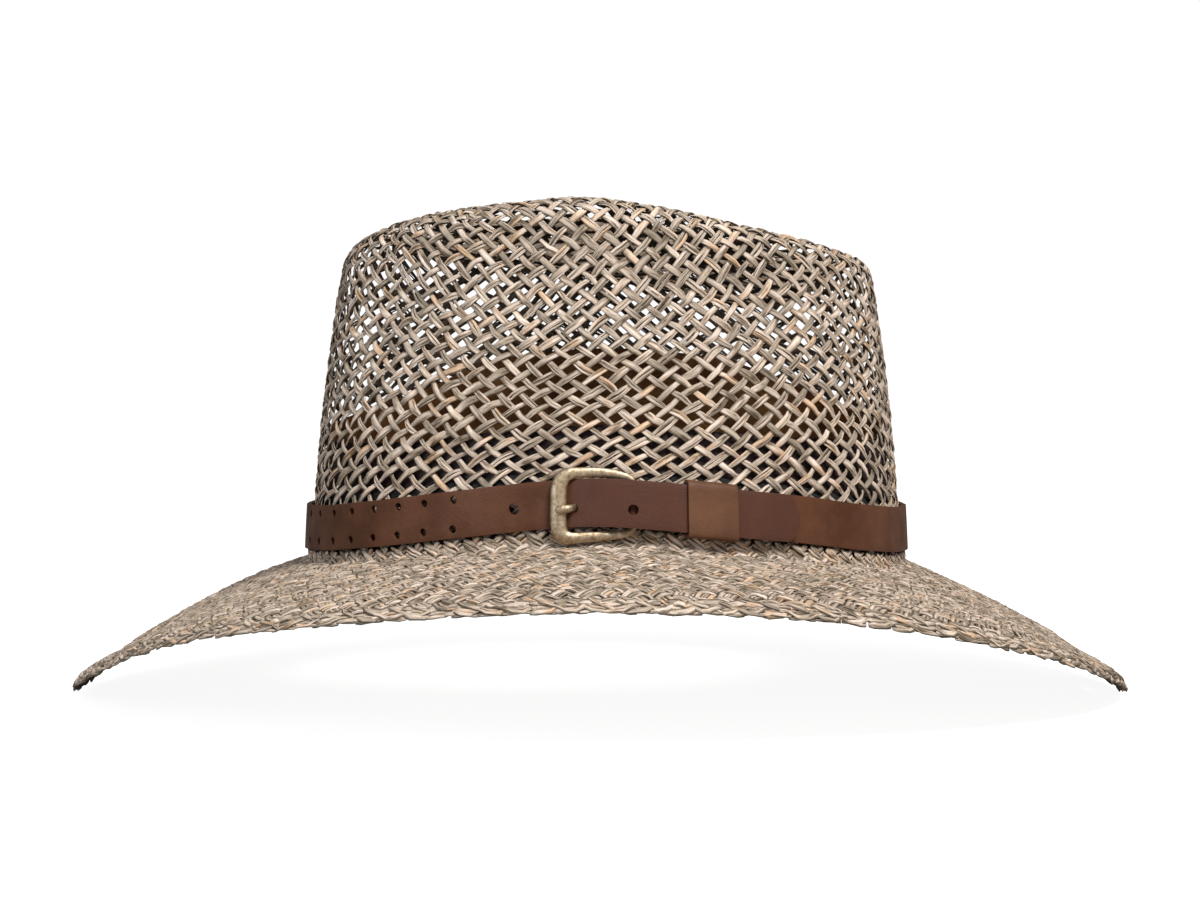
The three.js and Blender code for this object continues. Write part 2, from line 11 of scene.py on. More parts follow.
import bmesh
import bpy
import numpy as np
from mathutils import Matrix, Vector


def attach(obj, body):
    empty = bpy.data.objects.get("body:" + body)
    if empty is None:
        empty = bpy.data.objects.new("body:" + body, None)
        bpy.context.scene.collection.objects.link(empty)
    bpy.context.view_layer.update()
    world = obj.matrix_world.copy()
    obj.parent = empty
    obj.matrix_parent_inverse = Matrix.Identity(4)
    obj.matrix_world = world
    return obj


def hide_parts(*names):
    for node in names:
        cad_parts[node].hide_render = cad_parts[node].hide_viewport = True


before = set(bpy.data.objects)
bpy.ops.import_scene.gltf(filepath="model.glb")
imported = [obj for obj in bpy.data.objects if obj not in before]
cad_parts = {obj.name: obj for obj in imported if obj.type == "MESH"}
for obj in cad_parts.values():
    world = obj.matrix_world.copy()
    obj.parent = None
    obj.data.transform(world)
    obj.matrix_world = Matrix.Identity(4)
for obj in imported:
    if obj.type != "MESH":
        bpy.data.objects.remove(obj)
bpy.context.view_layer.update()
MM = 0.001
TURN = 2 * math.pi
print("CAD nodes:", ", ".join(sorted(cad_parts)))


def add(name, data):
    """A new object in the scene that shows the data."""
    made = bpy.data.objects.new(name, data)
    bpy.context.scene.collection.objects.link(made)
    return made


def unit(vectors):
    return vectors / np.linalg.norm(vectors, axis=-1, keepdims=True)


def distances(path):
    """The way along a path from its start to each of its points."""
    return np.concatenate([[0], np.cumsum(np.linalg.norm(np.diff(path, axis=0), axis=1))])


def mesh_of(name, shape):
    """A mesh made from a bmesh, which is freed."""
    mesh = bpy.data.meshes.new(name)
    shape.to_mesh(mesh)
    shape.free()
    return mesh


# %% [markdown]
# ## The camera
# The photograph looks at the wearer's left side from 0.85 m, and slightly down. A lens of
# 72.45 mm on a 36 mm sensor gives the same size and the same perspective.

# %% Camera
camera_data = bpy.data.cameras.new("camera")
camera_data.lens = 72.45
camera_data.sensor_width = 36
camera_data.clip_end = 20
camera = add("camera", camera_data)
camera.location = (0, -0.85, 0.1181)
camera.rotation_euler = (math.radians(87.7), 0, 0)
bpy.context.scene.camera = camera
print("camera at", tuple(round(c, 3) for c in camera.location))

# %% [markdown]
# ## The forms, from the same tables as the CAD
# A hat is a hand-shaped form, so its curves are given as short tables: a ridge line along the
# top, the level of the brim's edge, and the level of the crown's foot. A cubic reading between
# the rows keeps them smooth and never overshoots.

# %% Tables of the crown and the brim, in millimetres and degrees
RIDGE = [
    (-104, 154.0, 12, 0), (-90, 158.6, 17, 0), (-78.7, 161.4, 26, 3), (-66, 164.1, 38, 9),
    (-52, 165.9, 48, 14), (-30, 167.8, 57, 18.5), (-8, 169.3, 61.5, 22), (14, 167.1, 62, 24),
    (34, 163.4, 59, 24.5), (52, 159.7, 54, 24), (67, 158.1, 51, 21), (80, 158.4, 45, 13),
    (90, 158.4, 38, 4), (99, 156.4, 30, 0), (108, 152.0, 22, 0),
]
EDGE = [
    (-182, 0.4), (-176, 6.4), (-168, 11.1), (-158, 17.0), (-142, 24.6), (-120, 31.6),
    (-94, 36.5), (-66, 40.2), (-40, 42.5), (0, 44.2), (40, 42.9), (66, 40.3), (94, 35.8),
    (120, 29.4), (142, 22.4), (158, 15.8), (168, 10.5), (176, 5.9), (182, 0),
]
FOOT = [
    (0, 46.6), (18, 47.2), (36, 49.6), (53, 53.4), (66, 56.0), (76, 58.0), (91, 60.1),
    (100, 59.1), (118, 55.3), (138, 51.0), (158, 48.0), (180, 47.0), (202, 48.0),
    (222, 51.0), (242, 55.3), (260, 59.1), (269, 60.1), (284, 58.0), (294, 56.0),
    (307, 53.4), (324, 49.6), (342, 47.2), (360, 46.6),
]
BAND_TOP = [
    (0, 93.5), (24, 98), (42, 106), (66, 117), (90, 120), (114, 116.5), (136, 104),
    (158, 96.5), (180, 92), (204, 88), (228, 89), (250, 93), (270, 95.2), (305, 91),
    (335, 89), (360, 93.5),
]
# The crown's ovals: their middle, their half-length and half-width, and where they begin to shrink
MIDDLE_X = 2.2
HALF_LONG = 103.5
HALF_WIDE = 86.5
UPRIGHT_TO = 48
BRIM_HALF_LONG = 182.2
BRIM_HALF_WIDE = 166


def read(table, column, at):
    """Value of a table's column at a key, smooth between the rows."""
    rows = np.array(table, float)
    key, value = rows[:, 0], rows[:, column]
    at = np.clip(np.asarray(at, float), key[0], key[-1])
    i = np.clip(np.searchsorted(key, at) - 1, 0, len(key) - 2)
    rate = np.diff(value) / np.diff(key)
    both = rate[:-1] * rate[1:]
    total = rate[:-1] + rate[1:]
    mean = np.where(both > 0, 2 * both / np.where(total == 0, 1, total), 0)
    slope = np.concatenate([rate[:1], mean, rate[-1:]])
    step = key[i + 1] - key[i]
    t = (at - key[i]) / step
    ease = t * t * (3 - 2 * t)
    level = value[i] * (1 - ease) + value[i + 1] * ease
    return level + step * t * (1 - t) * (slope[i] * (1 - t) - slope[i + 1] * t)


def inset(z):
    """How much smaller the crown's oval is at a level than at its foot."""
    h = np.maximum(0, np.asarray(z, float) - UPRIGHT_TO)
    return 0.038 * h + 0.0007 * h * h


def wall(a, z, out=0.0):
    """Point of the crown's outside at an azimuth and a level, moved out by a distance."""
    a, z, out = np.broadcast_arrays(np.asarray(a, float), np.asarray(z, float), out)
    half = HALF_LONG - inset(z)
    wide = (HALF_WIDE - inset(z) * 1.15) * (1 + 0.025 * np.cos(a))
    nx, ny = wide * np.cos(a), half * np.sin(a)
    size = np.hypot(nx, ny)
    x = MIDDLE_X + half * np.cos(a) + nx / size * out
    y = wide * np.sin(a) + ny / size * out
    return np.stack([x, y, z], -1)


def foot_level(a):
    return read(FOOT, 1, np.degrees(a) % 360)


def top_level(x, y):
    """Level of the crown's top, with the dent between its two ridges."""
    ridge, half, dent = (read(RIDGE, k, x) for k in (1, 2, 3))
    t = np.abs(y) / half
    inside = ridge - dent * np.cos(np.minimum(t, 1) * math.pi / 2) ** 2
    return np.where(t < 1, inside, ridge - (np.abs(y) - half) ** 2 / 44)


print("crown foot at the near side:", round(float(foot_level(1.5 * math.pi)), 1), "mm")

# %% [markdown]
# ## Sheets that can be read anywhere
# The strands need a point and a normal at any place of the crown or the brim. So each form is
# worked out once as a fine net of points, by azimuth and by share of the way along it, and a
# reading between four neighbours gives any other place.

# %% A sheet of points with its normals
class Sheet:
    def __init__(self, columns, flip=1.0):
        self.points = columns
        around = np.roll(columns, -1, 0) - np.roll(columns, 1, 0)
        along = np.gradient(columns, axis=1)
        normal = np.cross(around, along) * flip
        normal[:, -1] = normal[:, -2]
        self.normals = unit(normal)

    def at(self, a, share):
        """Points and normals at azimuths in radians and shares from 0 to 1."""
        n, k = self.points.shape[:2]
        f = (np.asarray(a) % TURN) / TURN * n
        g = np.clip(share, 0, 1) * (k - 1)
        i, j = np.floor(f).astype(int) % n, np.minimum(g.astype(int), k - 2)
        s, t = (f - np.floor(f))[:, None], (g - j)[:, None]
        found = []
        for net in (self.points, self.normals):
            low = net[i, j] * (1 - s) + net[(i + 1) % n, j] * s
            high = net[i, j + 1] * (1 - s) + net[(i + 1) % n, j + 1] * s
            found.append(low * (1 - t) + high * t)
        return found[0], unit(found[1])


def evenly(columns, count):
    """The same columns with their points spaced evenly along each."""
    out = []
    for column in columns:
        run = distances(column)
        at = np.linspace(0, run[-1], count)
        out.append(np.stack([np.interp(at, run, column[:, k]) for k in range(3)], -1))
    return np.array(out)


# %% The crown, from its foot to the middle of its top
azimuths = np.linspace(0, TURN, 360, endpoint=False)


def crown_columns(a):
    corner = np.full(a.shape, 155.0)
    for _ in range(8):
        peak = wall(a, corner)
        corner = top_level(peak[:, 0], peak[:, 1])
    bend = 13 - 6 * np.sin(a) ** 2
    foot = foot_level(a) - 1
    peak, low = wall(a, corner), wall(a, corner - bend)
    reach = np.hypot(peak[:, 0] - MIDDLE_X, peak[:, 1])
    keep = (reach - bend) / reach

    def over(share):
        x, y = MIDDLE_X + (peak[:, 0] - MIDDLE_X) * share, peak[:, 1] * share
        return np.stack([x, y, top_level(x, y)], -1)

    rows = [wall(a, foot + (corner - bend - foot) * t) for t in np.linspace(0, 1, 40)]
    for t in np.linspace(0.05, 1, 20):
        rows.append(low * (1 - t) ** 2 + peak * 2 * t * (1 - t) + over(keep) * t * t)
    rows += [over(keep * t) for t in np.linspace(1, 0, 60)[1:]]
    return np.stack(rows, 1)


crown = Sheet(evenly(crown_columns(azimuths), 240))
print("crown height:", round(crown.points[..., 2].max() - crown.points[..., 2].min(), 1), "mm")

# %% The brim, from the crown out to its edge, at the middle of its thickness
# Rows of share of the way out, share of the hollow next to the crown, and rise in mm
BRIM_ROWS = [
    (0, 1, 0), (0.013, 0.48, 0.15), (0.028, 0.16, 0.3), (0.05, 0, 0.6), (0.25, 0, 2.3),
    (0.5, 0, 3.2), (0.72, 0, 3.4), (0.88, 0, 3.3), (0.955, 0, 2.6), (0.988, 0, 1.6), (1, 0, 0),
]


def brim_columns(a):
    x, y = BRIM_HALF_LONG * np.cos(a), BRIM_HALF_WIDE * np.sin(a)
    edge = np.stack([x, y, read(EDGE, 1, x) + 1.3], -1)
    hollow = 0.6 + 2.3 * np.sin(a) ** 2
    start = wall(a, foot_level(a), 0.3)
    rows = [wall(a, foot_level(a) + 1.1, 0.75), wall(a, foot_level(a) + 0.3, 0.6)]
    start[:, 2] -= hollow
    for t, turn, rise in BRIM_ROWS:
        row = start * (1 - t) + edge * t
        row[:, 2] += hollow * turn + rise - 1.0
        rows.append(row)
    return np.stack(rows, 1)


brim = Sheet(evenly(brim_columns(azimuths), 120), flip=-1.0)
print("brim width at the front:", round(np.ptp(brim.points[180, :, 0]), 1), "mm")

# %% [markdown]
# ## A plain weave over any net of faces
# In a plain weave every strand goes over one and under the next. Take a net of faces and put a
# crossing at the middle of each edge. Each strand then cuts across the corners of the faces, in
# turn to the left and to the right, and going over at every second crossing never fails, even
# where a face has three sides or where five faces meet. So the weave can widen and close up.

# %% Strands of a weave, as runs of crossings
def follow_strands(faces):
    """Lists of (edge, side) from border to border, side being 1 over and -1 under."""
    sides = {}
    for f, corners in enumerate(faces):
        for k, p in enumerate(corners):
            q = corners[(k + 1) % len(corners)]
            sides.setdefault((min(p, q), max(p, q)), []).append((f, k))
    used, strands = set(), []
    for edge, owners in sides.items():
        if len(owners) == 2:
            continue
        for way in (1, -1):
            (f, k), run, turn = owners[0], [(edge, way)], way
            while True:
                n = len(faces[f])
                corner = (f, (k + 1) % n if turn == 1 else k)
                if corner in used:
                    break
                used.add(corner)
                k = (k + turn) % n
                p, q = faces[f][k], faces[f][(k + 1) % n]
                key = (min(p, q), max(p, q))
                run.append((key, -turn))
                pair = sides[key]
                if len(pair) == 1:
                    break
                f, k = pair[1] if pair[0] == (f, k) else pair[0]
                turn = -turn
            if len(run) > 1:
                strands.append(run)
    return strands


# %% [markdown]
# ## Strands as swept curves
# A strand is a curve with a small cross-section swept along it, which is what Blender's curve
# bevel does. The curve's tilt turns the flat of the section to the surface. The swept tubes
# become one mesh. Each keeps its distance along the strand and a random tone for the material.

# %% Cross-sections
def section(name, corners):
    """A closed outline, x across the strand and y out of the surface."""
    curve = bpy.data.curves.new(name, "CURVE")
    curve.dimensions = "2D"
    spline = curve.splines.new("POLY")
    spline.points.add(len(corners) - 1)
    for point, (x, y) in zip(spline.points, corners):
        point.co = (x * MM, y * MM, 0, 1)
    spline.use_cyclic_u = True
    return bpy.data.objects.new(name, curve)


def oval(name, half_wide, half_thick, count):
    turns = [k / count * TURN for k in range(count)]
    return section(name, [(half_wide * math.cos(t), half_thick * math.sin(t)) for t in turns])


# %% Sweeping a set of runs into one mesh
def tilts(path, normals, closed):
    """Turn of the section about the path that lays it flat on the surface."""
    if closed:
        ways = np.roll(path, -1, 0) - np.roll(path, 1, 0)
    else:
        ways = np.gradient(path, axis=0)
    ways = unit(ways)
    up = unit(np.array([0, 0, 1.0]) - ways * ways[:, 2:])
    flat = normals - ways * np.sum(normals * ways, 1, keepdims=True)
    side = np.cross(up, flat)
    return np.arctan2(np.sum(side * ways, 1), np.sum(up * flat, 1))


def sweep(name, profile, runs, closed=False):
    """One mesh object from runs of (points in mm, normals, radius, extra tilt, tone)."""
    curve = bpy.data.curves.new(name, "CURVE")
    curve.dimensions = "3D"
    curve.twist_mode = "Z_UP"
    curve.bevel_mode = "OBJECT"
    curve.bevel_object = profile
    for path, normals, radius, lean, _ in runs:
        spline = curve.splines.new("POLY")
        spline.points.add(len(path) - 1)
        flat = np.hstack([path * MM, np.ones((len(path), 1))])
        spline.points.foreach_set("co", flat.ravel())
        spline.points.foreach_set("tilt", tilts(path, normals, closed) + lean)
        spline.points.foreach_set("radius", radius)
        spline.use_cyclic_u = closed
    swept = add(name, curve)
    bpy.context.scene.collection.objects.link(profile)
    graph = bpy.context.evaluated_depsgraph_get()
    mesh = bpy.data.meshes.new_from_object(swept.evaluated_get(graph))
    bpy.data.objects.remove(swept)
    bpy.context.scene.collection.objects.unlink(profile)
    sides = len(profile.data.splines[0].points)
    mark_strands(mesh, runs, sides)
    shape = bmesh.new()
    shape.from_mesh(mesh)
    if not closed:
        rims = [e for e in shape.edges if e.is_boundary]
        bmesh.ops.holes_fill(shape, edges=rims, sides=sides)
    bmesh.ops.recalc_face_normals(shape, faces=shape.faces)
    for face in shape.faces:
        face.smooth = True
    mesh.clear_geometry()
    shape.to_mesh(mesh)
    shape.free()
    return add(name, mesh)


def mark_strands(mesh, runs, sides):
    """UV with u round the strand and v along it in metres, and a random tone a strand."""
    along, tones = [], []
    for path, _, _, _, tone in runs:
        along.append(np.repeat(distances(path) * MM, sides))
        tones.append(np.full(len(path) * sides, tone))
    along, tones = np.concatenate(along), np.concatenate(tones)
    corners = np.empty(len(mesh.loops), int)
    mesh.loops.foreach_get("vertex_index", corners)
    turn = (corners % sides).reshape(-1, 4)
    seam = (turn.max(1) == sides - 1) & (turn.min(1) == 0)
    turn[(turn == 0) & seam[:, None]] = sides
    layer = mesh.uv_layers[0] if mesh.uv_layers else mesh.uv_layers.new(name="UVMap")
    layer.name = "UVMap"
    values = np.stack([turn.ravel() / sides, along[corners]], -1)
    layer.data.foreach_set("uv", values.ravel())
    tone = mesh.attributes.new("tone", "FLOAT", "POINT")
    tone.data.foreach_set("value", tones)


# %% [markdown]
# ## Laying a strand through its crossings
# A strand of this hat is not one cord. It is one to three flat blades of grass side by side, and
# each set of blades runs for a few crossings before the next takes over, out of sight under
# another strand. So a strand is cut into stretches that begin and end where it lies under, and
# every stretch gets blades with their own width, wander, twist and tone. Between two crossings a
# blade dips from over to under.

# %% Stretches of a strand
rng = np.random.default_rng(7)
SHORTEST = 2
LONGEST = 5
# Points of a blade from one crossing to the next
STEPS = 3


def stretches(strand):
    """The strand in stretches of a few crossings over, each cut where it lies under."""
    last = len(strand) - 1
    cuts = [0]
    after = 0 if strand[0][1] == -1 else 1
    after += 2 * int(rng.integers(1, LONGEST + 1))
    while after < last - 2:
        cuts.append(after)
        after += 2 * int(rng.integers(SHORTEST, LONGEST + 1))
    cuts.append(last)
    return [(strand[a:b + 1], a == 0, b == last) for a, b in zip(cuts, cuts[1:])]


def smooth_noise(count):
    """Random values from -1 to 1 that change gently from crossing to crossing."""
    knots = rng.uniform(-1, 1, count // STEPS + 3)
    return np.interp(np.arange(count) / STEPS, np.arange(len(knots)), knots)


# %% Paths of the blades over a sheet
# How far a stretch runs on under the next one, in crossings
RUN_ON = 0.3
# How much a blade varies: sideways and upwards in mm, in width and height as shares, and its turn
WANDER = 0.18
BOB = 0.1
WIDTH_CHANGE = 0.16
HEIGHT_CHANGE = 0.2
TWIST = 0.4


def lay(stretch, places, sheet, to_sheet, bundles, depth, lift, tuck=None, swell=None):
    """Runs for sweep(), one a blade of the stretch."""
    strand, first, last = stretch
    ends = np.array([(places[e[0]] + places[e[1]]) / 2 for e, _ in strand])
    side = np.array([s for _, s in strand], float)
    side[0] *= not first
    side[-1] *= not last
    if tuck:
        ends, side = tuck(ends, side)
    t = np.arange((len(ends) - 1) * STEPS + 1) / STEPS
    t = np.concatenate([[] if first else [-RUN_ON], t, [] if last else [t[-1] + RUN_ON]])
    i = np.clip(np.floor(t).astype(int), 0, len(ends) - 2)
    f = t - i
    plan = ends[i] * (1 - f) + ends[i + 1] * f
    wave = np.cos(f * math.pi)
    wave = np.sign(wave) * np.abs(wave) ** 0.6
    height = np.where(wave > 0, side[i] * wave, -side[i + 1] * wave)
    points, normals = sheet.at(*to_sheet(plan))
    across = unit(np.cross(normals, np.gradient(points, axis=0)))
    rise = height * lift * (1 + HEIGHT_CHANGE * smooth_noise(len(t))) - depth
    bundle = bundles[int(rng.integers(len(bundles)))]
    girth = rng.uniform(0.84, 1.18) * rng.choice([-1, 1])
    wider = swell(plan) if swell else 1.0
    runs = []
    for aside, wide in bundle:
        shift = girth * aside * (1 + 0.12 * height) + WANDER * smooth_noise(len(t))
        level = rise + BOB * smooth_noise(len(t))
        path = points + normals * level[:, None] + across * shift[:, None]
        radius = abs(girth) * wide * (1 + 0.06 * height + WIDTH_CHANGE * smooth_noise(len(t)))
        radius = radius * wider
        radius[[0, -1]] *= 0.6
        lean = TWIST * smooth_noise(len(t))
        runs.append((path, normals, radius, lean, rng.uniform()))
    return runs


def weave(faces, places, *ways, **bends):
    """Runs for every blade of every strand of a net; the rest goes to lay()."""
    runs = []
    for strand in follow_strands(faces):
        for stretch in stretches(strand):
            runs += lay(stretch, places, *ways, **bends)
    return runs


def shake(places, spread, loose):
    """Places of a net with a small random step at each one that is loose."""
    step = rng.normal(0, spread, (2, len(places)))
    return places + (step[0] + 1j * step[1]) * loose


def in_parts(name, profile, runs, count):
    """The runs split over so many meshes, so that none grows too large."""
    share = math.ceil(len(runs) / count)
    made = []
    for k in range(count):
        part = runs[k * share:(k + 1) * share]
        made.append(sweep(f"{name}_{k + 1}", profile, part))
        print(made[-1].name, len(part), "strands", len(made[-1].data.polygons), "faces")
    return made


# %% [markdown]
# ## The open weave of the crown
# The crown's strands cross about every 5 mm, so the holes between them are wide open. The net
# has 64 columns round the foot and 20 rows that climb the wall and turn in over the top, where a
# square patch closes it. The columns lean, spread and close up in slow waves round the crown,
# which makes the strands flatter at the front and steeper at the back.

# %% Net of the crown on a disc: its rim is the foot and its middle the middle of the top
COLUMNS = 64
RINGS = 20
PATCH = 16
PATCH_REACH = 0.33


def foot_azimuths(count):
    """Azimuths that share the crown's outline evenly, half a column off the corners."""
    fine = np.linspace(0, TURN, 2001)
    run = distances(wall(fine, 60.0))
    at = (np.arange(count) - PATCH / 2) / count * run[-1]
    return np.where(at < 0, -1, 1) * np.interp(np.abs(at), run, fine)


def patch_disc(x, y):
    """A square laid on a disc, with rounded sides."""
    return x * np.sqrt(1 - y * y / 2) + 1j * y * np.sqrt(1 - x * x / 2)


def crown_net():
    steps = np.linspace(-1, 1, PATCH + 1)
    gx, gy = np.meshgrid(steps, steps, indexing="ij")
    patch = patch_disc(gx, gy)
    n = PATCH
    border = [(n, k) for k in range(n)] + [(n - k, n) for k in range(n)]
    border += [(0, n - k) for k in range(n)] + [(k, 0) for k in range(n)]
    rim = np.unwrap(np.angle([patch[b] for b in border]))
    low = foot_azimuths(COLUMNS)
    places, faces, ids = [], [], {}
    for j in range(RINGS + 1):
        r = 1 - (1 - PATCH_REACH) * j / RINGS
        late = (j / RINGS) ** 1.5
        for i in range(COLUMNS):
            ids["ring", j, i] = len(places)
            places.append(r * np.exp(1j * (low[i] * (1 - late) + rim[i] * late)))
    for k, b in enumerate(border):
        ids[("patch",) + b] = ids["ring", RINGS, k]
    for p in range(n + 1):
        for q in range(n + 1):
            if ("patch", p, q) not in ids:
                ids["patch", p, q] = len(places)
                places.append(PATCH_REACH * patch[p, q])
    for j in range(RINGS):
        for i in range(COLUMNS):
            m = (i + 1) % COLUMNS
            around = [(j, i), (j, m), (j + 1, m), (j + 1, i)]
            faces.append([ids[("ring",) + c] for c in around])
    for p in range(n):
        for q in range(n):
            around = [(p, q), (p + 1, q), (p + 1, q + 1), (p, q + 1)]
            faces.append([ids[("patch",) + c] for c in around])
    return np.array(places), faces


def relax(places, faces, fixed, rounds):
    """Each free corner moved towards the middle of its neighbours, a few times."""
    pairs = {tuple(sorted((f[k - 1], f[k]))) for f in faces for k in range(len(f))}
    pairs = np.array(sorted(pairs))
    for _ in range(rounds):
        total, count = np.zeros(len(places), complex), np.zeros(len(places))
        for a, b in (pairs.T, pairs.T[::-1]):
            np.add.at(total, a, places[b])
            np.add.at(count, a, 1)
        moved = places + 0.5 * (total / count - places)
        places = np.where(fixed, places, moved)
    return places


# %% Slow waves of the net: how far it turns, spreads and rises round the crown
LEAN_ALL_ROUND = 0.34
LEAN_LOW = 0.18
LEAN_LOW_WAVES = 0.13
LEAN_HIGH = 0.17
SPREAD_WAVES = 0.04
RISE_LOW_WAVES = 0.045
RISE_HIGH = 0.047
RISE_HIGH_WAVES = 0.033


def wave_net(places):
    """The crown's net on its disc, with its columns and rows moved by the slow waves."""
    r, a = np.abs(places), np.angle(places)
    climb = 1 - r
    low, high = 4 * climb * r * r, 6 * climb * climb * r
    turn = LEAN_ALL_ROUND * climb * r + SPREAD_WAVES * r * r * np.cos(3 * a)
    turn -= low * (LEAN_LOW * np.cos(a) + LEAN_LOW_WAVES * np.cos(3 * a))
    turn += high * LEAN_HIGH * np.sin(2 * a)
    rise = low * RISE_LOW_WAVES * np.sin(3 * a)
    rise += high * (RISE_HIGH + RISE_HIGH_WAVES * np.cos(3 * a))
    return (r + rise) * np.exp(1j * (a + turn))


places, faces = crown_net()
places = wave_net(relax(places, faces, fixed=np.abs(places) > 0.5, rounds=12))
places = shake(places, spread=0.0028, loose=np.abs(places) < 0.99)
print("crown net:", len(places), "corners", len(faces), "faces")


# %% Strands of the crown
def crown_place(plan):
    return np.angle(plan), 1 - np.abs(plan)


# Over the top the strands are wider by these shares, from one share of the way up to the other
SWELL_FROM, SWELL_OVER = 0.59, 0.06
FAR_SWELL, NEAR_SWELL = 0.8, 0.12


def top_swell(plan):
    """The weave is closer over the top, most of all on the far side."""
    share = np.clip((1 - np.abs(plan) - SWELL_FROM) / SWELL_OVER, 0, 1)
    return 1 + share * np.where(plan.imag > 0, FAR_SWELL, NEAR_SWELL)


# How deep the strands lie in the wall, and how far they rise over and dip under, in mm
CROWN_DEPTH = 0.95
CROWN_LIFT = 0.42
# Blades of a strand, each as its distance from the strand's middle and its half-width in mm
CROWN_BUNDLES = [
    [(0.0, 1.1)],
    [(0.05, 0.97)],
    [(-0.24, 0.84), (0.76, 0.34)],
    [(-0.54, 0.56), (0.55, 0.52)],
]
blade = section("crown_blade", [
    (1, 0.02), (0.66, 0.26), (-0.6, 0.3), (-1, -0.02), (-0.66, -0.26), (0.6, -0.24),
])
crown_runs = weave(faces, places, crown, crown_place, CROWN_BUNDLES, CROWN_DEPTH, CROWN_LIFT,
                   swell=top_swell)
crown_weave = in_parts("crown_weave", blade, crown_runs, 3)

# %% [markdown]
# ## The dense weave of the brim
# The brim is nearly twice as long round its edge as round the crown. Its weave keeps the same
# spacing all the way out, so each ring of the net has a few more corners than the one before,
# and a three-sided face takes each new strand in. A strand here is as wide as the weave's
# spacing, so hardly a hole is left. At the brim's edge it bends and runs along the edge.

# %% Net of the brim on a ring: its inner rim is the crown and its outer rim the edge
BRIM_RINGS = 13
BRIM_CELL = 6.9
BRIM_START = 1.25


def brim_net():
    around = np.linalg.norm(np.roll(brim.points, -1, 0) - brim.points, axis=2).sum(0)
    share = np.concatenate([[0], (np.arange(BRIM_RINGS) + 0.75) / (BRIM_RINGS + 0.25)])
    share[-1] = 1
    even = np.linspace(0, 1, len(around))
    counts = [round(c / BRIM_CELL) for c in np.interp(share, even, around)]
    rows, faces = [np.arange(counts[0]) / counts[0] * TURN], []
    first = 0
    for k in range(BRIM_RINGS):
        n = counts[k]
        extra = max(0, counts[k + 1] - n)
        slots = (np.arange(extra) + rng.uniform(0.1, 0.9, extra)) * n / max(extra, 1)
        widened = set(int(s) for s in slots)
        outer, low, start = [], rows[-1], first + n
        for i in range(n):
            here, after = first + i, first + (i + 1) % n
            if i in widened:
                faces.append([here, start + len(outer), start + len(outer) + 1])
                outer.append(low[i] - 0.25 * TURN / n)
                outer.append(low[i] + 0.25 * TURN / n)
            else:
                outer.append(low[i])
            faces.append([here, start + len(outer) - 1, start + len(outer), after])
        count = len(outer)
        for face in faces:
            for c, corner in enumerate(face):
                if corner == start + count:
                    face[c] = start
        outer = np.array(outer)
        for _ in range(10):
            before = np.roll(outer, 1)
            before[0] -= TURN
            later = np.roll(outer, -1)
            later[-1] += TURN
            outer = 0.5 * outer + 0.25 * (before + later)
        rows.append(outer)
        counts[k + 1] = count
        first = start
    places = np.concatenate([
        (BRIM_START + t) * np.exp(1j * row) for t, row in zip(share, rows)
    ])
    return places, faces


brim_places, brim_faces = brim_net()
inner = np.abs(np.abs(brim_places) - BRIM_START - 0.5) <= 0.49
brim_places = shake(brim_places, spread=0.005, loose=inner)
print("brim net:", len(brim_places), "corners", len(brim_faces), "faces")


# %% Strands of the brim
def brim_place(plan):
    return np.angle(plan), np.abs(plan) - BRIM_START


# Where a strand runs once it has bent: how far along the edge, in radians, and how far in
TUCK_ALONG = np.array([0.0, 0.014, 0.046])
TUCK_INWARD = np.array([0.042, 0.024, 0.019])


def tuck_in(ends, side):
    for _ in range(2):
        ends, side = ends[::-1], side[::-1]
        rim = np.abs(ends[-1])
        if rim > BRIM_START + 0.98:
            way = np.sign(np.angle(ends[-1] / ends[-2]))
            along = np.exp(1j * (np.angle(ends[-1]) + way * TUCK_ALONG))
            ends = np.concatenate([ends[:-1], along * (rim - TUCK_INWARD)])
            side = np.concatenate([side, rng.uniform(-0.7, 0.7, 2)])
    return ends, side


BRIM_LIFT = 0.6
BRIM_BUNDLES = [
    [(-1.7, 0.95), (-0.45, 0.75), (1.3, 1.3)],
    [(-1.45, 1.1), (0.15, 0.95), (1.65, 1.05)],
]
reed = section("brim_reed", [(1, 0.04), (0.15, 0.36), (-1, -0.04), (-0.15, -0.36)])
brim_runs = weave(brim_faces, brim_places, brim, brim_place, BRIM_BUNDLES, 0.0, BRIM_LIFT,
                  tuck=tuck_in)
brim_weave = in_parts("brim_weave", reed, brim_runs, 4)

# %% [markdown]
# ## Thin sheets: the sweatband, its tape, the belt and the keeper
# Leather parts are strips. Each is a flat grid whose corners are moved to their places, given
# its thickness by Solidify, and rounded at its edges by Bevel.

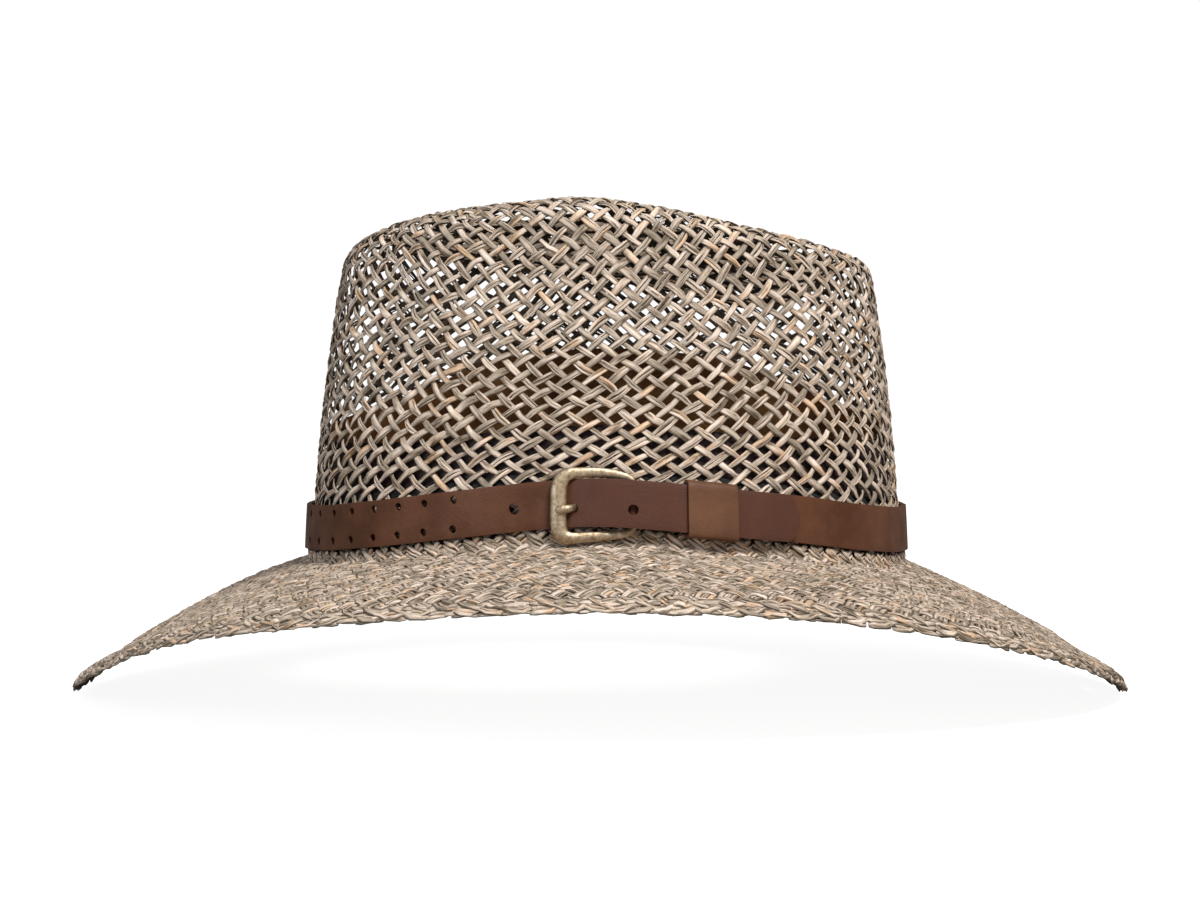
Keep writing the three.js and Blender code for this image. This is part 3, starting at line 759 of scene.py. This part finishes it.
# %% A strip of leather
def strip(name, across, along, place, thick, rounding, closed, cutter=None):
    """A grid laid by place(share along, share across), with thickness and rounded edges."""
    shape = bmesh.new()
    bmesh.ops.create_grid(shape, x_segments=along, y_segments=across, size=1)
    corners = np.array([v.co[:2] for v in shape.verts])
    spots = place((corners[:, 0] + 1) / 2, (corners[:, 1] + 1) / 2) * MM
    for vert, spot in zip(shape.verts, spots):
        vert.co = spot
    if closed:
        bmesh.ops.remove_doubles(shape, verts=shape.verts, dist=1e-5)
    mesh = mesh_of(name, shape)
    piece = add(name, mesh)
    solid = piece.modifiers.new("thickness", "SOLIDIFY")
    solid.thickness = thick * MM
    solid.offset = 1
    if cutter:
        cut = piece.modifiers.new("holes", "BOOLEAN")
        cut.object = cutter
        cut.operation = "DIFFERENCE"
        cut.solver = "EXACT"
    edge = piece.modifiers.new("edges", "BEVEL")
    edge.width = rounding * MM
    edge.segments = 3
    edge.limit_method = "ANGLE"
    edge.angle_limit = math.radians(40)
    graph = bpy.context.evaluated_depsgraph_get()
    done = bpy.data.meshes.new_from_object(piece.evaluated_get(graph))
    piece.modifiers.clear()
    piece.data = done
    for polygon in done.polygons:
        polygon.use_smooth = True
    bpy.data.meshes.remove(mesh)
    print(name, len(done.polygons), "faces")
    return piece


# %% Sweatband and tape
def band_strip(name, depth, thick, bottom, top, rounding):
    """A band inside the crown, up to a height over its foot, or by the table where top is None."""
    def place(u, v):
        a = TURN - u * TURN
        low = foot_level(a) + bottom
        high = read(BAND_TOP, 1, np.degrees(a) % 360) if top is None else foot_level(a) + top
        return wall(a, low + (high - low) * v, -depth)

    return strip(name, 6, 160, place, thick, rounding, True)


sweatband = band_strip("sweatband_leather", 3.0, 1.2, -1.8, None, 0.35)
tape = band_strip("sweatband_tape_cloth", 2.1, 0.6, 5.5, 21.5, 0.2)


def mark_faces(piece, name, value_of):
    """An attribute that holds a value for each face."""
    values = [value_of(face) for face in piece.data.polygons]
    piece.data.attributes.new(name, "FLOAT", "FACE").data.foreach_set("value", values)
    print(piece.name, "faces marked", name, sum(v > 0 for v in values), "of", len(values))


def looks_out(face):
    """1 on the faces that look away from the head, which get a painted shade, and 0 elsewhere."""
    return float(face.center.x * face.normal.x + face.center.y * face.normal.y > 0.02)


# The band's faces that look away from the head get a painted shade in band_leather
mark_faces(sweatband, "outside", looks_out)

# %% [markdown]
# ## The belt
# One strap starts at the buckle's heel bar, goes once round the crown and over its own start,
# through the buckle and the keeper. A table gives its distance from the crown all the way.

# %% Belt path
BELT_LEVEL = 62.0
HALF_AT_BELT = HALF_LONG - float(inset(BELT_LEVEL))
STRAP_WIDTH = 15.2
# Rows of turn, x and distance from the crown
STRAP_PATH = [
    (0, 10.4, 1.6), (0, 13, 1.6), (0, 18.5, 1.55), (0, 46, 1.5), (0, 58, 0.9), (0, 76, 0.6),
    (1, -32, 0.6), (1, -24, 0.45), (1, -16, 0.7), (1, -10.2, 1.2), (1, -6, 2.3), (1, 0, 4.1),
    (1, 5, 4.95), (1, 10.4, 5.05), (1, 16, 4.9), (1, 24, 3.7), (1, 46, 3.65), (1, 58, 3.2),
    (1, 59.8, 3.1), (1, 61, 3.05), (1, 61.9, 3.0),
]


def azimuth_at(x):
    return TURN - math.acos(max(-1, min(1, (x - MIDDLE_X) / HALF_AT_BELT)))


def strap_middle(a):
    return foot_level(a) + 3.2 + STRAP_WIDTH / 2


def belt_point(at, s, v, off):
    """A point near the belt: run s along it, height v over its middle and distance off."""
    rate = np.linalg.norm(wall(at - 0.01, BELT_LEVEL) - wall(at + 0.01, BELT_LEVEL)) / 0.02
    a = at + np.asarray(s, float) / rate
    return wall(a, strap_middle(a) + v, off)


strap_table = [(azimuth_at(x) + lap * TURN, off) for lap, x, off in STRAP_PATH]
strap_start, strap_end = strap_table[0][0], strap_table[-1][0]
print("belt turns:", round((strap_end - strap_start) / TURN, 3))

# %% Punched holes, as one set of pins to cut with
# Rows of x, height over the belt's middle, radius, and distance from the crown to begin at
PINS = [
    (-27.0, -0.3, 1.8, -1), (-8.0, -1.5, 1.3, -1), (10.1, -1.7, 1.7, 4.4), (103.7, -4.8, 1.15, -1),
]
for x in (-96.8, -92.8, -87.3, -80.7, -72.9, -64.6, -56, -46.4):
    PINS += [(x, 4.8, 1.3, -1), (x, -4.5, 1.3, -1)]


def pins():
    shape = bmesh.new()
    for x, v, radius, begin in PINS:
        a = azimuth_at(x)
        low = belt_point(a, 0, v, begin)
        high = belt_point(a, 0, v, 9.0)
        way = Vector(high - low)
        turn = way.to_track_quat("Z", "Y").to_matrix().to_4x4()
        turn.translation = Vector((low + high) / 2) * MM
        bmesh.ops.create_cone(
            shape, cap_ends=True, segments=20, radius1=radius * MM, radius2=radius * MM,
            depth=way.length * MM, matrix=turn)
    return add("pins", mesh_of("pins", shape))


# %% Belt strap, with a rounded tip and a narrow start that folds round the heel bar
# The grid's last columns, from this share on, lie close together in the last bit of the turn
TIP_SHARE = 0.92
TIP_TURN = 0.055
TIP_LENGTH = 5.2
START_LENGTH = 8
START_WIDTH = 0.684
# Millimetres to a radian along the belt's side
BELT_RADIUS = 97


def strap_place(u, v):
    fine = strap_end - TIP_TURN
    late = np.clip((u - TIP_SHARE) / (1 - TIP_SHARE), 0, 1)
    a = np.where(u < TIP_SHARE, strap_start + (fine - strap_start) * u / TIP_SHARE,
                 fine + TIP_TURN * np.sin(late * 1.52))
    left = np.clip((strap_end - a) * BELT_RADIUS / TIP_LENGTH, 0, 1)
    tip = np.sqrt(np.clip(1 - (1 - left) ** 2, 0.02, 1))
    begun = np.clip((a - strap_start) * BELT_RADIUS / START_LENGTH - 0.35, 0, 1)
    wide = tip * (START_WIDTH + (1 - START_WIDTH) * begun * begun * (3 - 2 * begun))
    off = read(strap_table, 1, a)
    return wall(a, strap_middle(a) + (v - 0.5) * STRAP_WIDTH * wide, off)


cutter = pins()
strap = strip("belt_strap", 8, 460, strap_place, 1.8, 0.42, False, cutter)
bpy.data.objects.remove(cutter)


# The upper lap lies this far off the crown, and the tip's rim is small faces that turn away, which
# get a painted highlight
LAP_OFF = 3.0
RIM_FROM_X = 48
RIM_TURNED = 0.985
RIM_FACE = 1.2e-6


def lap_of(face):
    """1 on the strap's upper lap, 2 on the rounded rim of its tip, which gets a painted highlight,
    and 0 elsewhere.
    """
    x, y, z = (c / MM for c in face.center)
    at = math.atan2(y / HALF_WIDE, (x - MIDDLE_X) / HALF_LONG)
    on_wall = wall(at, z)
    off = math.hypot(x - MIDDLE_X, y) - math.hypot(on_wall[0] - MIDDLE_X, on_wall[1])
    upper = float(np.clip((off - LAP_OFF) / 0.8, 0, 1))
    near_tip = upper > 0 and x > RIM_FROM_X and y < 0
    flat = Vector(wall(at, z, 1.0) - on_wall)
    rim = near_tip and face.normal.dot(flat) < RIM_TURNED and face.area < RIM_FACE
    return 2.0 if rim else upper


mark_faces(strap, "lap", lap_of)

# %% Keeper loop round both layers of the strap
KEEPER_AT = azimuth_at(34.4)
KEEPER_WIDTH = 15.7
# The opening is a rounded box, from 1.15 to 5.85 mm off the crown
HALF_HIGH = 7.95
KEEPER_OFF = 3.5
HALF_DEEP = 2.35
BOX_POWER = 0.16


def keeper_place(u, v):
    c, s = np.cos(u * TURN), np.sin(u * TURN)
    height = np.sign(c) * np.abs(c) ** BOX_POWER * HALF_HIGH
    off = KEEPER_OFF + np.sign(s) * np.abs(s) ** BOX_POWER * HALF_DEEP
    return belt_point(KEEPER_AT, (v - 0.5) * KEEPER_WIDTH, height, off)


keeper = strip("keeper_leather", 8, 96, keeper_place, 1.25, 0.35, True)

# %% [markdown]
# ## The buckle
# The frame is cast brass: a thick round bar on the left, two arms that taper, and a thin heel
# bar that hides under the strap. One closed sweep with a changing radius makes it. The prong is
# a second sweep, from a ring on the heel bar, out of its hole and over the round bar.

# %% Frame
BUCKLE_AT = azimuth_at(0)
BUCKLE_DROP = 0.6
# The heel bar's place along the belt and off the crown
HEEL_X = 10.4
HEEL_OFF = 2.6
# Rows of x, height and size, where 1 is the full section
FRAME_PATH = [
    (-12.7, 0, 1.06), (-12.7, 2.6, 1.06), (-12.65, 5.2, 1.06), (-12.3, 7.3, 1.02),
    (-11.3, 9.1, 0.95), (-9.6, 10.05, 0.84), (-7, 10.25, 0.71), (-3, 10.15, 0.66), (1, 9.95, 0.63),
    (4.5, 9.6, 0.58), (7.4, 9.05, 0.52), (9.4, 8.4, 0.46), (10.35, 7.0, 0.44), (10.4, 4.4, 0.42),
    (10.4, 0, 0.42),
]


def frame_run():
    rows = np.array(FRAME_PATH + [(x, -v, r) for x, v, r in FRAME_PATH[-2:0:-1]])
    n = len(rows)
    t = np.arange(n * 4) / 4
    i, f = t.astype(int) % n, (t % 1)[:, None]
    p0, p1, p2, p3 = (rows[(i + k) % n] for k in (-1, 0, 1, 2))
    rows = 0.5 * (2 * p1 + (p2 - p0) * f + (2 * p0 - 5 * p1 + 4 * p2 - p3) * f ** 2
                  + (3 * p1 - p0 - 3 * p2 + p3) * f ** 3)
    x, v, radius = rows.T
    off = HEEL_OFF + (HEEL_X - x) * 0.091
    path = belt_point(BUCKLE_AT, x, v - BUCKLE_DROP, off)
    normals = belt_point(BUCKLE_AT, x, v - BUCKLE_DROP, off + 1) - path
    return path, normals, radius, np.zeros(len(path)), 0.5


cast = oval("cast_section", 2.5, 1.35, 20)
buckle = sweep("buckle_cast_frame", cast, [frame_run()], closed=True)

# %% Prong, and the strap's end folded round the heel bar
# The prong lies under the belt's middle, and its tip a little further down
PRONG_DROP = 1.2
TIP_DROP = 0.25
# Rows of x, distance from the crown and size
TONGUE = [
    (12.0, 2.6, 0.7), (11.6, 3.5, 0.75), (10.5, 3.85, 0.8), (9.4, 3.5, 0.8), (8.6, 2.5, 0.8),
    (5.5, 1.95, 0.8), (3, 1.75, 0.8), (0, 1.5, 0.8), (-3, 1.25, 0.8), (-5.9, 1.15, 0.8),
    (-6.9, 1.6, 0.82), (-7.5, 2.7, 0.85), (-8.1, 4.6, 0.9), (-8.9, 6.1, 0.95),
    (-10.2, 6.65, 1.0), (-12, 6.75, 0.98), (-12.8, 6.8, 0.85), (-13.15, 6.8, 0.6),
]


def prong_run():
    x, off, radius = np.array(TONGUE).T
    height = np.clip((x + 7) / 6, -1, 0) * TIP_DROP - PRONG_DROP
    path = belt_point(BUCKLE_AT, x, height, off)
    ways = np.gradient(path, axis=0)
    across = belt_point(BUCKLE_AT, x, height + 1, off) - path
    normals = unit(np.cross(ways, across))
    return path, normals, radius, np.zeros(len(path)), 0.5


prong = sweep("buckle_cast_prong", oval("prong_section", 1.3, 0.68, 12), [prong_run()])


def fold_run():
    v = np.linspace(-5.2, 5.2, 9)
    x = np.full(len(v), HEEL_X)
    path = belt_point(BUCKLE_AT, x, v, HEEL_OFF)
    normals = belt_point(BUCKLE_AT, x, v, HEEL_OFF + 1) - path
    return path, normals, np.array([0.9] + [1.0] * 7 + [0.9]), np.zeros(len(v)), 0.5


fold = sweep("belt_fold", oval("fold_section", 2.15, 2.15, 16), [fold_run()])

# %% [markdown]
# ## Materials
# The effects that several finishes share are node groups: the grain and colour of dry grass,
# and the grain of leather. The Principled shader stays in each material.

# %% Helpers for nodes
COLOUR, NUMBER = "NodeSocketColor", "NodeSocketFloat"


def group_of(name, outputs, inputs):
    """A node group, with its input and output nodes."""
    tree = bpy.data.node_groups.new(name, "ShaderNodeTree")
    for label, kind, value in inputs:
        socket = tree.interface.new_socket(label, in_out="INPUT", socket_type=kind)
        socket.default_value = value
    for label, kind in outputs:
        tree.interface.new_socket(label, in_out="OUTPUT", socket_type=kind)
    return tree, tree.nodes.new("NodeGroupInput").outputs, tree.nodes.new("NodeGroupOutput")


def feed(tree, target, links):
    """Sockets of a node, each linked to another socket or set to a value."""
    for socket, source in links:
        if isinstance(source, bpy.types.NodeSocket):
            tree.links.new(source, target.inputs[socket])
        else:
            target.inputs[socket].default_value = source


def node(tree, kind, links=(), **values):
    made = tree.nodes.new("ShaderNode" + kind)
    for key, value in values.items():
        setattr(made, key, value)
    feed(tree, made, links)
    return made


def maths(tree, operation, a, b=0.0):
    return node(tree, "Math", [(0, a), (1, b)], operation=operation).outputs[0]


def times(tree, a, b):
    return maths(tree, "MULTIPLY", a, b)


def mix(tree, share, a, b, blend="MIX"):
    links = [(0, share), (6, a), (7, b)]
    return node(tree, "Mix", links, data_type="RGBA", blend_type=blend).outputs[2]


def spread(tree, value, low, high, to_low=0.0, to_high=1.0):
    """A value carried from one range to another and held at its ends."""
    links = [(0, value), (1, low), (2, high), (3, to_low), (4, to_high)]
    return node(tree, "MapRange", links).outputs[0]


def noise(tree, place, scale, detail, rough=0.5):
    links = [("Vector", place), ("Scale", scale), ("Detail", detail), ("Roughness", rough)]
    return node(tree, "TexNoise", links).outputs[0]


def relief(tree, height, strength, distance):
    """A normal for a fine relief, its distance in metres."""
    links = [("Height", height), ("Strength", strength), ("Distance", distance)]
    return node(tree, "Bump", links).outputs[0]


def combine(tree, *parts):
    return node(tree, "CombineXYZ", enumerate(parts)).outputs[0]


def object_place(tree):
    return node(tree, "TexCoord").outputs["Object"]


def attribute(tree, name):
    return node(tree, "Attribute", attribute_name=name).outputs["Fac"]


def ramp(tree, factor, stops):
    made = node(tree, "ValToRGB", [(0, factor)])
    elements = made.color_ramp.elements
    while len(elements) < len(stops):
        elements.new(0.5)
    for element, (at, colour) in zip(elements, stops):
        element.position = at
        element.color = colour
    return made.outputs[0]


def seen(r, g, b):
    """A colour as it is seen, in 0 to 255, turned to Blender's linear values."""
    parts = (r / 255, g / 255, b / 255)
    linear = [c / 12.92 if c <= 0.04045 else ((c + 0.055) / 1.055) ** 2.4 for c in parts]
    return (*linear, 1)


def new_material(name):
    material = bpy.data.materials.new(name)
    material.use_nodes = True
    tree = material.node_tree
    return material, tree, tree.nodes["Principled BSDF"]


# %% Dry grass: streaks along the blade, a tone that changes blade by blade, and painted shade on the blades' edges, on their inner side and in the crown's dent
GRASS_TONES = [
    (0.33, seen(160, 146, 130)), (0.43, seen(189, 172, 155)), (0.5, seen(209, 191, 175)),
    (0.57, seen(230, 211, 195)), (0.67, seen(216, 183, 152)),
]
STREAKS = [(0.36, (0.24, 0.19, 0.13, 1)), (0.47, (0.78, 0.75, 0.7, 1)), (0.62, (1.14, 1.14, 1.14, 1))]
# Colour of the painted shade on a blade's two edges
BLADE_EDGE_SHADE = seen(96, 84, 66)
# Colour of the painted shade on the blades' inner side
INNER_SHADE = (0.2, 0.16, 0.12, 1)
# The dent's painted shade fills an oval seen from above, given by one over its half-axes in metres
DENT_OVAL = (11.2, 18.2, 0)
DENT_SHADE = (0.36, 0.34, 0.31, 1)


def grass_group():
    tree, given, result = group_of(
        "dry_grass", [("Color", COLOUR), ("Height", NUMBER)],
        [("Blade", NUMBER, 60.0), ("Shade", NUMBER, 0.5), ("Inside", NUMBER, 0.0)])
    spot = node(tree, "UVMap", uv_map="UVMap").outputs[0]
    around, along, _ = node(tree, "SeparateXYZ", [(0, spot)]).outputs
    seed = times(tree, attribute(tree, "tone"), 91.0)
    place = combine(tree, times(tree, along, given["Blade"]), seed)
    colour = ramp(tree, noise(tree, place, 1.0, 1.0), GRASS_TONES)
    fine = combine(tree, times(tree, around, 7.0), times(tree, along, 130.0), seed)
    streak = noise(tree, fine, 1.0, 3.0, 0.62)
    colour = mix(tree, 1.0, colour, ramp(tree, streak, STREAKS), "MULTIPLY")
    # The blade's two edges get a painted shade, which makes dark grooves between the blades
    angle = times(tree, around, TURN)
    edge = maths(tree, "POWER", maths(tree, "ABSOLUTE", maths(tree, "COSINE", angle)), 6.0)
    colour = mix(tree, times(tree, edge, given["Shade"]), colour, BLADE_EDGE_SHADE)
    # The side that looks into the hat gets a painted shade
    below = spread(tree, maths(tree, "SINE", angle), 0.1, -0.35)
    colour = mix(tree, times(tree, below, given["Inside"]), colour, INNER_SHADE, "MULTIPLY")
    # The dent of the crown gets a painted deep shade
    spot = object_place(tree)
    flat = node(tree, "VectorMath", [(0, spot), (1, DENT_OVAL)], operation="MULTIPLY")
    far = node(tree, "VectorMath", [(0, flat.outputs[0])], operation="LENGTH")
    within = spread(tree, far.outputs["Value"], 1.05, 0.8)
    level = node(tree, "SeparateXYZ", [(0, spot)]).outputs[2]
    high = spread(tree, level, 0.118, 0.126)
    colour = mix(tree, times(tree, within, high), colour, DENT_SHADE, "MULTIPLY")
    feed(tree, result, [("Color", colour), ("Height", streak)])
    return tree


dry_grass = grass_group()


def grass_material(name, blade, shade, inside):
    material, tree, shader = new_material(name)
    links = [("Blade", blade), ("Shade", shade), ("Inside", inside)]
    grain = node(tree, "Group", links, node_tree=dry_grass).outputs
    feed(tree, shader, [
        ("Base Color", grain["Color"]), ("Roughness", 0.62), ("Specular IOR Level", 0.35),
        ("Normal", relief(tree, grain["Height"], 0.7, 0.0006))])
    return material


# The crown's blades get painted shade on their edges and on their inner side, the brim's only on
# their edges
crown_grass = grass_material("crown_grass", 55.0, 0.55, 0.9)
brim_grass = grass_material("brim_grass", 85.0, 0.75, 0.0)


# %% Leather: a fine grain, soft blotches, and colour worn pale
def leather_group():
    tree, given, result = group_of(
        "leather_grain", [("Color", COLOUR), ("Height", NUMBER), ("Roughness", NUMBER)],
        [("Base", COLOUR, (0.1, 0.05, 0.03, 1)), ("Worn", COLOUR, (0.2, 0.1, 0.06, 1))])
    spot = object_place(tree)
    blotch = noise(tree, spot, 70.0, 5.0, 0.6)
    colour = mix(tree, spread(tree, blotch, 0.38, 0.68), given["Base"], given["Worn"])
    pores = node(tree, "TexVoronoi", [("Vector", spot), ("Scale", 1500.0)]).outputs[0]
    height = maths(tree, "ADD", times(tree, pores, 0.5), noise(tree, spot, 900.0, 4.0))
    rough = spread(tree, blotch, 0.3, 0.7, 0.62, 0.45)
    feed(tree, result, [("Color", colour), ("Height", height), ("Roughness", rough)])
    return tree


leather_grain = leather_group()


def leather_material(name, base, worn, marks=()):
    """Marks are rows of attribute name, low and high value, and the colour that they bring."""
    material, tree, shader = new_material(name)
    links = [("Base", base), ("Worn", worn)]
    grain = node(tree, "Group", links, node_tree=leather_grain).outputs
    colour = grain["Color"]
    for mark, low, high, tint in marks:
        colour = mix(tree, spread(tree, attribute(tree, mark), low, high), colour, tint)
    feed(tree, shader, [
        ("Base Color", colour), ("Roughness", grain["Roughness"]), ("Specular IOR Level", 0.2),
        ("Normal", relief(tree, grain["Height"], 0.25, 0.0004))])
    return material


# The upper lap gets a tint of its own, and the rounded rim of the tip a painted highlight
belt_leather = leather_material("belt_leather", seen(80, 48, 30), seen(100, 63, 43), [
    ("lap", 0.0, 1.6, seen(82, 51, 43)), ("lap", 1.0, 2.0, seen(142, 112, 92))])
keeper_leather = leather_material("keeper_leather", seen(92, 60, 42), seen(110, 75, 54))
# The sweatband's outer faces take a darker colour, a painted shade
band_leather = leather_material("band_leather", seen(88, 52, 24), seen(142, 98, 56), [
    ("outside", 0.0, 1.0, seen(54, 40, 38))])


# %% Aged brass and black tape
def brass_material(name):
    material, tree, shader = new_material(name)
    cloud = noise(tree, object_place(tree), 700.0, 6.0, 0.7)
    colour = ramp(tree, cloud, [
        (0.3, seen(128, 106, 78)), (0.5, seen(192, 170, 140)), (0.68, seen(230, 214, 194))])
    feed(tree, shader, [
        ("Base Color", colour), ("Roughness", spread(tree, cloud, 0.3, 0.7, 0.6, 0.4)),
        ("Metallic", 1.0), ("Normal", relief(tree, cloud, 0.15, 0.0003))])
    return material


def tape_material(name):
    material, tree, shader = new_material(name)
    links = [("Vector", object_place(tree)), ("Scale", 500.0), ("Distortion", 1.5)]
    threads = node(tree, "TexWave", links, bands_direction="Z").outputs[1]
    colour = ramp(tree, threads, [(0.2, seen(20, 20, 19)), (0.8, seen(40, 39, 37))])
    feed(tree, shader, [
        ("Base Color", colour), ("Roughness", 0.85), ("Normal", relief(tree, threads, 0.4, 0.0002))])
    return material


brass = brass_material("aged_brass")
black_cloth = tape_material("black_cloth")

# %% Finishes on their pieces
FINISHES = [
    (crown_weave, crown_grass, "crown_seagrass", "crown"),
    (brim_weave, brim_grass, "brim_seagrass", "brim"),
    ([sweatband], band_leather, "band_leather", "sweatband"),
    ([tape], black_cloth, "black_tape", "sweatband_tape"),
    ([strap, fold], belt_leather, "belt_leather", "strap"),
    ([keeper], keeper_leather, "keeper_leather", "keeper_loop"),
    ([buckle], brass, "frame_brass", "buckle_frame"),
    ([prong], brass, "prong_brass", "buckle_prong"),
]
for pieces, material, slot, stands_for in FINISHES:
    for piece in pieces:
        piece.data.materials.clear()
        piece.data.materials.append(material)
        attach(piece, "root")
        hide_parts(stands_for)

# %% [markdown]
# ## The studio
# A plain white floor and a bright even surround, with one large soft light from the upper right
# and a weaker, cooler one from the left.

# %% Floor, surround and lights
FLOOR_HALF = 6
FLOOR_LEVEL = -0.0006
floor_shape = bmesh.new()
bmesh.ops.create_grid(floor_shape, x_segments=1, y_segments=1, size=FLOOR_HALF)
bmesh.ops.translate(floor_shape, verts=floor_shape.verts, vec=(0, 0, FLOOR_LEVEL))
floor = add("floor", mesh_of("floor", floor_shape))


def for_camera(tree, low, high):
    """A strength that is high where the camera looks and low for all other light."""
    rays = node(tree, "LightPath").outputs["Is Camera Ray"]
    return spread(tree, rays, 0.0, 1.0, low, high)


floor_white, floor_tree, paint = new_material("floor_white")
feed(floor_tree, paint, [
    ("Base Color", (0.5, 0.5, 0.5, 1)), ("Roughness", 0.9), ("Specular IOR Level", 0.0),
    ("Emission Color", (1, 1, 1, 1)), ("Emission Strength", for_camera(floor_tree, 0.0, 0.92))])
floor.data.materials.append(floor_white)

world = bpy.data.worlds.new("surround")
bpy.context.scene.world = world
world.use_nodes = True
sky_tree = world.node_tree
feed(sky_tree, sky_tree.nodes["Background"], [
    ("Color", (1, 1, 1, 1)), ("Strength", for_camera(sky_tree, 0.2, 1.05))])


def soft_light(name, place, size, power, tint):
    data = bpy.data.lights.new(name, "AREA")
    data.shape = "DISK"
    data.size = size
    data.energy = power
    data.color = tint
    light = add(name, data)
    light.location = place
    aim = Vector((0, 0, 0.1)) - Vector(place)
    light.rotation_euler = aim.to_track_quat("-Z", "Y").to_euler()


soft_light("key", (0.6, -1.32, 1.5), 0.7, 42, (1, 0.995, 0.985))
soft_light("fill", (-1.2, -1.2, 0.6), 0.9, 7.5, (0.82, 0.91, 1.0))
bpy.context.scene.view_settings.view_transform = "Standard"
